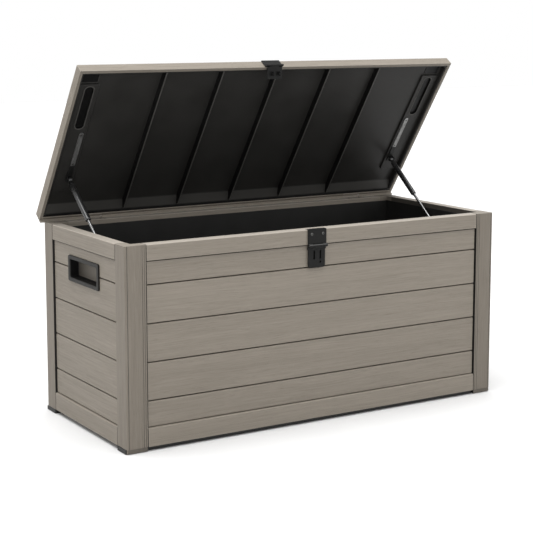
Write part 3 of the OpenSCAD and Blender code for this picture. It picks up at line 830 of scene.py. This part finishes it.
def lid_brackets():
    """A bright strip with a hole at each end, and the dark clip, ear and pin of the strut."""
    low, high = shut_box("strut_brackets_lid")
    strip_low, strip_w, hole_r, ear = STRIP_TOP - 2 * MM, 13 * MM, 2.5 * MM, 2.5 * MM
    bead_at, bead_length = 3.6 * MM, 74 * MM
    beads = ((1.8 * MM, strip_low + 0.2 * MM), (1.5 * MM, strip_low - 0.35 * MM),
             (0.8 * MM, strip_low - 0.5 * MM))  # width, height
    pin = SHUT_LID @ Vector(joints["strut_pivot_right"]["pos_m"])
    y0, y1 = low.y, pin.y - 36 * MM
    y_mid = (y0 + y1) / 2
    bright, dark = bmesh.new(), bmesh.new()
    for side in (-1, 1):
        x = side * (pin.x - 2 * MM)
        outline = [(x + u, y_mid + v) for u, v in rounded_rect(strip_w, y1 - y0, 6.4 * MM)]
        holes = [(x, y0 + 10 * MM, hole_r), (x, y1 - 14 * MM, hole_r)]
        plate = holed_plate(outline, holes, strip_low, STRIP_TOP)
        round_edges(plate, 0.35 * MM, 2, 60)
        join(bright, plate)
        for u in (-bead_at, bead_at):
            bead = bmesh.new()
            loft(bead, [[Vector((x + u + a, y_mid - 2 * MM + b, z))
                         for a, b in rounded_rect(w, bead_length + w, w / 2)] for w, z in beads])
            join(bright, bead)
        # The clip over the strip's end, the foot under the strut's eye and the ear.
        block(dark, (x - strip_w / 2 - 0.6 * MM, y1 - 8 * MM, strip_low - 0.8 * MM),
              (x + strip_w / 2 + 0.6 * MM, pin.y - 18 * MM, STRIP_TOP))
        a, b = sorted((x - side * strip_w / 2, side * high.x))
        block(dark, (a, pin.y - 22 * MM, strip_low), (b, pin.y + 12 * MM, STRIP_TOP))
        a, b = sorted((side * (high.x - ear), side * high.x))
        block(dark, (a, pin.y - 8 * MM, pin.z - 7.5 * MM),
              (b, pin.y + 8 * MM, STRIP_TOP - 0.5 * MM))
    round_edges(dark, 0.5 * MM, 2)
    for side in (-1, 1):
        for x_in, x_out, r in ((pin.x - 6 * MM, high.x - ear, 3.0 * MM),
                               (pin.x - 7.5 * MM, pin.x - 6 * MM, 4.5 * MM)):
            a, b = sorted((side * x_in, side * x_out))
            rod = bmesh.new()
            cross_rod(rod, a, b, r, 0, 0.3 * MM)
            bmesh.ops.translate(rod, vec=(0, pin.y, pin.z), verts=rod.verts)
            join(dark, rod)
    lid_piece("lid_bracket_strips", bright, ZINC, ("strut_brackets_lid",), 40)
    lid_piece("lid_bracket_clips", dark, COATED, (), 40)


lid_brackets()
reskin("strut_brackets_body", ZINC, 0.4 * MM)

# ---------------------------------------------------------------- latch, hasp and hinges

latch_pin = Vector(joints["latch_hinge"]["pos_m"])


def highlit_ridge(face):
    """Tells the upper side of the latch's knuckles, which gets a painted highlight."""
    return face.normal.z > 0.5 and abs(face.calc_center_median().z - latch_pin.z) < 6 * MM


for node in ("latch_base", "latch_flap"):
    reskin(node, COATED, 0.6 * MM, 2, painted_highlight=((0.6, highlit_ridge),))
for node in ("hasp_plate", "hasp_tongue"):
    reskin(node, COATED, 0.5 * MM, 2)
for node in ("hinge_leaves_body", "hinge_leaves_lid"):
    reskin(node, HINGE_PAINT, 0.2 * MM, 1)
for node in ("hinge_pins", "latch_pin", "hasp_pin"):
    reskin(node, SCREW, 0.2 * MM, 1)


def islands(node):
    """The points of each separate solid of a CAD node."""
    source, found, seen = cad_shape(node), [], set()
    for start in source.verts:
        if start in seen:
            continue
        island, queue = [], [start]
        seen.add(start)
        while queue:
            v = queue.pop()
            island.append(v.co.copy())
            for e in v.link_edges:
                w = e.other_vert(v)
                if w not in seen:
                    seen.add(w)
                    queue.append(w)
        found.append(island)
    source.free()
    return found


def screw_heads(node, normal, head_r, head_h, tip):
    """Domed heads with a cross recess, one at each solid of a CAD fastener node."""
    bm = bmesh.new()
    normal = Vector(normal)
    turn = normal.to_track_quat("Z", "Y").to_matrix().to_4x4()
    shank_r, arm, half = 1.6 * MM, head_r * 0.52, head_r * 0.11
    cross = []  # the recess's outline, a quarter at a time
    for k in range(4):
        for x, y in ((arm, 0), (arm, half), ((arm + half) / 2, half), (half, half),
                     (half, (arm + half) / 2), (half, arm)):
            for _ in range(k):
                x, y = -y, x
            cross.append((x, y))
    top, sunk = head_h, head_h * 0.35
    profile = [(shank_r, -tip), (shank_r, 0), (head_r, 0), (head_r * 0.99, head_h * 0.35),
               (head_r * 0.86, head_h * 0.8), (head_r * 0.66, top)]

    def in_recess(face):
        at = face.calc_center_median()
        return at.xy.length < arm and 0 < at.z < top - 0.1 * MM

    for island in islands(node):
        height = max(p.dot(normal) for p in island)
        flat = [p - normal * p.dot(normal) for p in island]
        middle = Vector([(min(p[i] for p in flat) + max(p[i] for p in flat)) / 2
                         for i in range(3)])
        head = bmesh.new()
        loops = [(circle(r, len(cross)), z) for r, z in profile] + [(cross, top), (cross, sunk)]
        loft(head, [[Vector((x, y, z)) for x, y in loop] for loop, z in loops])
        bmesh.ops.recalc_face_normals(head, faces=head.faces)
        # Painted shade in the cross recess.
        add_painted_light(head, (0.8, in_recess))
        place = Matrix.Translation(middle + normal * (height - head_h)) @ turn
        bmesh.ops.transform(head, matrix=place, verts=head.verts)
        join(bm, head)
    piece(node + "_skin", bm, SCREW, node_body[node], (node,), 40)


screw_heads("latch_screws", (0, -1, 0), 4 * MM, 1.5 * MM, 20 * MM)
screw_heads("hinge_screws", (0, 0, 1), 3.4 * MM, 0.5 * MM, 17 * MM)

# ---------------------------------------------------------------- floor, light and camera


def floor(half=14, thick=0.05):
    """A wide pale slab whose top is the ground."""
    corners = ((-half, -half), (half, -half), (half, half), (-half, half))
    bm = bmesh.new()
    loft(bm, [[Vector((x, y, z)) for x, y in corners] for z in (-thick, 0.0)])
    mesh = bpy.data.meshes.new("floor")
    bm.to_mesh(mesh)
    bm.free()
    f = Finish("pale_floor", Roughness=0.9)
    speck = f.noise(f.local(), (3, 3, 3), 2)
    pale = [rgb(grey, grey, grey) for grey in (0.60, 0.62)]
    f.put(f.shader.inputs["Base Color"], f.mix(f.spread(speck, 0.3, 0.7), *pale))
    mesh.materials.append(f.material)
    made = bpy.data.objects.new("floor", mesh)
    bpy.context.scene.collection.objects.link(made)


def area_light(name, at, towards, size, power):
    """A square softbox of a size in metres and a power in watts."""
    data = bpy.data.lights.new(name, "AREA")
    data.shape = "SQUARE"
    data.size = size
    data.energy = power
    made = bpy.data.objects.new(name, data)
    made.location = at
    made.rotation_euler = (Vector(towards) - Vector(at)).to_track_quat("-Z", "Y").to_euler()
    bpy.context.scene.collection.objects.link(made)


def sun(name, direction, strength, softness):
    """A sun whose disc is softness degrees wide."""
    data = bpy.data.lights.new(name, "SUN")
    data.energy = strength
    data.angle = math.radians(softness)
    made = bpy.data.objects.new(name, data)
    made.rotation_euler = Vector(direction).to_track_quat("-Z", "Y").to_euler()
    bpy.context.scene.collection.objects.link(made)


def studio_world():
    """White low down all round, and dimmer overhead."""
    world = bpy.data.worlds.new("studio")
    bpy.context.scene.world = world
    world.use_nodes = True
    tree = world.node_tree
    back = tree.nodes["Background"]
    back.inputs["Color"].default_value = rgb(1.0, 1.0, 1.0)
    coords = tree.nodes.new("ShaderNodeTexCoord")
    axes = tree.nodes.new("ShaderNodeSeparateXYZ")
    ramp = tree.nodes.new("ShaderNodeMapRange")
    tree.links.new(coords.outputs["Generated"], axes.inputs[0])
    tree.links.new(axes.outputs["Z"], ramp.inputs["Value"])
    for key, value in (("From Min", 0.30), ("From Max", 0.65), ("To Min", 1.0),
                       ("To Max", 0.55)):
        ramp.inputs[key].default_value = value
    tree.links.new(ramp.outputs[0], back.inputs["Strength"])


floor()
sun("overhead", (0.10, -0.04, -1.0), 4.4, 64)
area_light("key", (-0.9, -2.6, 3.0), (0.1, -0.2, 0.35), 2.2, 20)
area_light("side", (-3.3, -0.5, 1.9), (-0.6, 0, 0.3), 1.2, 8)
area_light("fill", (3.2, -2.8, 2.0), (0.3, -0.2, 0.4), 2.4, 20)
studio_world()
bpy.context.scene.view_settings.view_transform = "Standard"

# The camera stands in front, left and above, fitted to the photo's perspective.
camera_data = bpy.data.cameras.new("camera")
camera_data.lens = 95.66
camera_data.sensor_width = 36
camera_data.shift_y = -0.1
camera = bpy.data.objects.new("camera", camera_data)
camera.location = (-2.1329, -3.4274, 1.1063)
camera.rotation_euler = (math.radians(90 - 7.843), 0, math.radians(-31.67))
bpy.context.scene.collection.objects.link(camera)
bpy.context.scene.camera = camera
